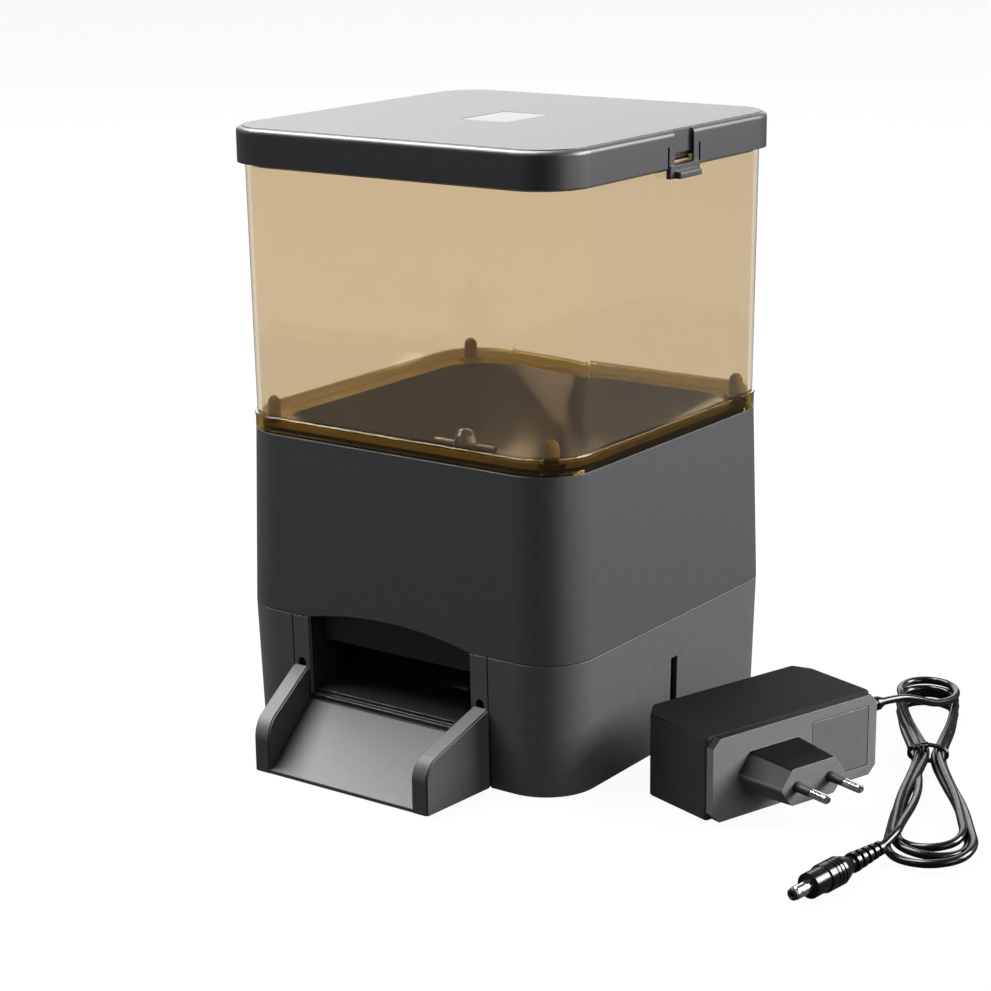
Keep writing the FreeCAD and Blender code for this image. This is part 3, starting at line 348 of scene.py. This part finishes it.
def paint(node_names, material):
    for name in node_names:
        mesh = NODES[name].data
        mesh.materials.clear()
        mesh.materials.append(material)


def paint_rim():
    """The funnel's flat rim and its posts get the paler amber: painted light, against the painted shade of
    the slopes.
    """
    mesh = NODES["hopper_funnel"].data
    mesh.materials.append(rim_amber_painted_light())
    for polygon in mesh.polygons:
        if polygon.center.z > RIM_PAINTED_LIGHT_LEVEL:
            polygon.material_index = 1


def paint_nodes():
    lid_nodes = ["lid_cover", "lid_latch_right", "lid_latch_left"]
    # Painted shade: the lid and latches are a darker copy of the body's charcoal.
    paint(lid_nodes, moulded("charcoal_lid_painted_shade", (0.017, 0.017, 0.019), 0.42))
    paint(["body_shell"], moulded("charcoal_body", (0.034, 0.034, 0.036), 0.42))
    # Painted light: the base and outlet panel are a paler copy of the charcoal, for the light a floor throws
    # back on them.
    paint(["base_shell", "outlet_panel"], moulded("charcoal_base_painted_light", (0.053, 0.053, 0.056), 0.44))
    paint(["feed_ramp"], moulded("charcoal_ramp", (0.030, 0.030, 0.033), 0.62))
    inner_nodes = ["mid_deck", "rotor_housing", "portion_baffle", "motor_bracket", "base_plate"]
    inner_nodes += ["board_components", "button_switch"]
    paint(inner_nodes, moulded("inner_black", (0.018, 0.018, 0.018), 0.5))
    paint(["inner_chute"], moulded("chute_gloss", (0.014, 0.014, 0.015), 0.14, 900.0, 0.00003, 0.15))
    # Painted shade: the funnel's slopes are painted nearly black.
    paint(["hopper_funnel"], amber_painted_shade())
    paint_rim()
    paint(["hopper_tank"], clear_amber())
    paint(["lid_seal"], rubber("seal_silicone", (0.55, 0.53, 0.50), 0.5))
    paint(["lid_plate"], moulded("plate_white", (0.09, 0.09, 0.09), 0.5))
    steel = metal("screw_steel", (0.55, 0.55, 0.56), 0.3)
    paint(["funnel_screws", "deck_screws", "base_screws", "rotor_shaft"], steel)
    paint(["portion_rotor", "drive_gear"], moulded("rotor_nylon", (0.62, 0.60, 0.54), 0.45))
    paint(["agitator"], moulded("agitator_dark", (0.05, 0.04, 0.03), 0.25))
    paint(["shaft_bush", "motor_pinion"], metal("bush_brass", (0.62, 0.44, 0.18), 0.25))
    paint(["gear_motor"], metal("motor_can", (0.58, 0.58, 0.58), 0.32, (1.0, 12.0, 1.0)))
    paint(["rubber_feet"], rubber("foot_rubber", (0.012, 0.012, 0.012)))
    paint(["control_board"], circuit_board())
    # The adapter's tops carry painted shade and its sides painted light.
    paint(["adapter_case"], black_painted_light_and_shade("adapter_black_painted_shade", (0.016, 0.016, 0.016), (0.004, 0.004, 0.004), 0.6))
    paint(["adapter_face"], black_painted_light_and_shade("adapter_front_painted_light", (0.105, 0.105, 0.108), (0.001, 0.001, 0.001), 0.5))
    socket_nodes = ["pin_sleeves", "dc_jack", "dc_plug_insulator"]
    paint(socket_nodes, moulded("socket_black", (0.006, 0.006, 0.006), 0.5))
    paint(["adapter_label"], moulded("label_grey", (0.090, 0.090, 0.092), 0.35))
    paint(["feed_button"], rubber("button_rubber", (0.09, 0.09, 0.095), 0.55))
    paint(["status_lens"], moulded("lens_milky", (0.48, 0.62, 0.50), 0.18))
    paint(["mains_pins", "dc_plug_barrel"], metal("pin_nickel", (0.72, 0.70, 0.66), 0.18))
    cord_look = cord_plastic()
    paint(["adapter_strain_relief", "dc_plug_grip"], cord_look)
    return cord_look


def shade_smooth():
    """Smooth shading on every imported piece."""
    for node in NODES.values():
        mesh = node.data
        mesh.polygons.foreach_set("use_smooth", [True] * len(mesh.polygons))


# ---------------------------------------------------------------- cord
CORD_R = 0.0018
HANK_LOW = Vector((0.2523, -0.0668, 0.0))      # lower end of the hank's middle line
HANK_TURN = math.radians(116.0)                # its direction, from +X
ALONG = Vector((math.cos(HANK_TURN), math.sin(HANK_TURN), 0.0))
ASIDE = Vector((-math.sin(HANK_TURN), math.cos(HANK_TURN), 0.0))
WAIST = 0.122                          # distance of the tie from the hank's lower end
FLAT = 0.0019                          # height of a strand's centre where it lies on the floor
UPON = 0.0053                          # and where it lies on others
LEAD_ROUTE = [
    (0.1746, 0.0432, 0.0240),
    (0.1784, 0.0548, 0.0236),
    (0.1820, 0.0660, 0.0198),
    (0.1852, 0.0768, 0.0150),
]
TAIL_ROUTE = [
    (0.2287, -0.0446, 0.0089),
    (0.2320, -0.0554, 0.0089),
    (0.2305, -0.0670, 0.0064),
]
# Along the hank, to its side and up: from the lead into the first loop, from the tie to the tail
LEAD_IN = [(0.1680, -0.0090, 0.0130), (0.1760, -0.0126, 0.0124)]
LEAD_OUT = [
    (0.106, 0.0046, 0.0030),
    (0.090, 0.0040, 0.0042),
    (0.072, 0.0046, 0.0056),
    (0.052, 0.0070, 0.0075),
]
# The winding goes up the right, over the top, down the left and round the lower end.
# Loops round the top: half width, height, distance of the top from the lower end
TOPS = [
    (0.0123, 0.0124, 0.1975),
    (0.0121, 0.0089, 0.1955),
    (0.0124, 0.0054, 0.1985),
    (0.0122, FLAT, 0.1965),
]
# Strands at the tie, as (side, height), down the left and up the right
TIED_LEFT = [(0.0, 0.0052), (0.0038, 0.0052), (0.0019, FLAT), (0.0057, FLAT)]
TIED_RIGHT = [(-0.0038, 0.0052), (-0.0019, FLAT), (-0.0057, FLAT)]
# Loops round the lower end: half width left and right, height left and right, distance of its low point
LOWS = [
    (0.0124, 0.0134, FLAT, UPON, 0.0190),
    (0.0143, 0.0153, UPON, FLAT, 0.0108),
    (0.0163, 0.0173, FLAT, UPON, 0.0026),
]
ROUND = 1.08                           # control points of a loop stand this much outside it
# Along a strand from the tie to a loop: share of the way, share of the side step
EASE = [(0.28, 0.34), (0.58, 0.82), (0.86, 1.0)]
SINK_START = 0.35                      # share of the way where a strand begins to sink
SINK_LENGTH = 0.53                     # share of the way that the sinking takes
TIE_R = 0.0007
TIE_HALF_WIDTH = 0.0088
TIE_HALF_HEIGHT = 0.0042
TIE_LOW = 0.0008                       # lowest centre of the tie's wire
TIE_STEPS = 16                         # points round one wrap
TWIST_R = 0.0008                       # the twisted ends wind at this radius


def hank_point(distance, side, height):
    point = HANK_LOW + ALONG * distance + ASIDE * side
    return (point.x, point.y, height)


def strand(tied, half, rest, middle):
    """Points of one strand from the tie to the start of a loop."""
    side, height = tied
    points = []
    for part, ease in EASE:
        sink = max(0.0, (part - SINK_START) / SINK_LENGTH)
        along = WAIST + (middle - WAIST) * part
        points.append((along, side + (half - side) * ease, height + (rest - height) * sink))
    return points


def loop(middle, first, last, low, high, out):
    """Points round one end. out is 1 for the top and -1 for the lower end."""
    points = []
    for degrees in (0, 45, 90, 135, 180):
        share = degrees / 180
        half = abs(first) + (abs(last) - abs(first)) * share
        angle = math.radians(degrees)
        side = math.copysign(half, first) * math.cos(angle) * ROUND
        along = middle + out * half * math.sin(angle) * ROUND
        points.append((along, side, low + (high - low) * share))
    return points


def hank_route():
    points = []
    for turn, (half, height, top) in enumerate(TOPS):
        crown = top - half
        points += loop(crown, -half, half, height, height, 1)
        tied = TIED_LEFT[turn]
        points += reversed(strand(tied, half, height, crown))
        points.append((WAIST, *tied))
        if turn == len(LOWS):
            break
        left, right, left_rest, right_rest, low = LOWS[turn]
        foot = low + (left + right) / 2
        points += strand(tied, left, left_rest, foot)
        points += loop(foot, left, -right, left_rest, right_rest, -1)
        tied = TIED_RIGHT[turn]
        points += reversed(strand(tied, -right, right_rest, foot))
        points.append((WAIST, *tied))
        half, height, top = TOPS[turn + 1]
        points += strand(tied, -half, height, top - half)
    return [hank_point(*point) for point in points]


def tube(name, radius, roundness, look):
    """A round curve object without any spline yet, with its curve."""
    curve = bpy.data.curves.new(name, "CURVE")
    curve.dimensions = "3D"
    curve.bevel_depth = radius
    curve.bevel_resolution = roundness
    curve.use_fill_caps = True
    curve.materials.append(look)
    piece = bpy.data.objects.new(name, curve)
    bpy.context.scene.collection.objects.link(piece)
    return piece, curve


def add_spline(curve, places):
    """One smooth spline that starts and ends at the first and last place."""
    spline = curve.splines.new("NURBS")
    spline.points.add(len(places) - 1)
    for point, place in zip(spline.points, places):
        point.co = (*place, 1.0)
    spline.order_u = 3
    spline.use_endpoint_u = True


def make_cord(look):
    cord, curve = tube("cord_sheath", CORD_R, 5, look)
    curve.resolution_u = 8
    route = LEAD_ROUTE + [hank_point(*point) for point in LEAD_IN] + hank_route()
    route += [hank_point(*point) for point in LEAD_OUT] + TAIL_ROUTE
    add_spline(curve, route)
    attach(cord, "root")
    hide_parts("cord_lead", "cord_hank", "cord_tail")
    return cord


def tie_wrap(lift, sway):
    """Points once round the waist. sway is how far the wrap moves along the hank."""
    places = []
    for index in range(TIE_STEPS + 1):
        share = index / TIE_STEPS
        angle = 2 * math.pi * share + math.pi / 2
        side = TIE_HALF_WIDTH * math.cos(angle)
        height = TIE_HALF_HEIGHT * (1 + math.sin(angle))
        places.append(hank_point(WAIST + lift + sway * share, side, max(TIE_LOW, height)))
    return places


def tie_end(phase):
    """Points up one of the two ends, which wind round each other."""
    places = []
    for index in range(9):
        angle = phase + index * 1.5
        along = WAIST - 0.0006 * index + TWIST_R * math.cos(angle)
        side = 0.0004 + 0.0010 * index + TWIST_R * math.sin(angle)
        places.append(hank_point(along, side, 0.0080 + 0.00012 * index))
    return places


def make_tie(look):
    """Twist tie: two wraps round the waist and two twisted ends that lie on the hank."""
    tie, curve = tube("twist_tie", TIE_R, 3, look)
    for lift, sway in ((0.0, 0.0), (0.0016, 0.0012)):
        add_spline(curve, tie_wrap(lift, sway))
    for phase in (0.0, math.pi):
        add_spline(curve, tie_end(phase))
    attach(tie, "root")
    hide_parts("cord_tie")
    return tie


# ---------------------------------------------------------------- build the scene
make_camera()
make_world()
make_lights()
make_floor()
cord_look = paint_nodes()
shade_smooth()
cord = make_cord(cord_look)
tie = make_tie(cord_look)
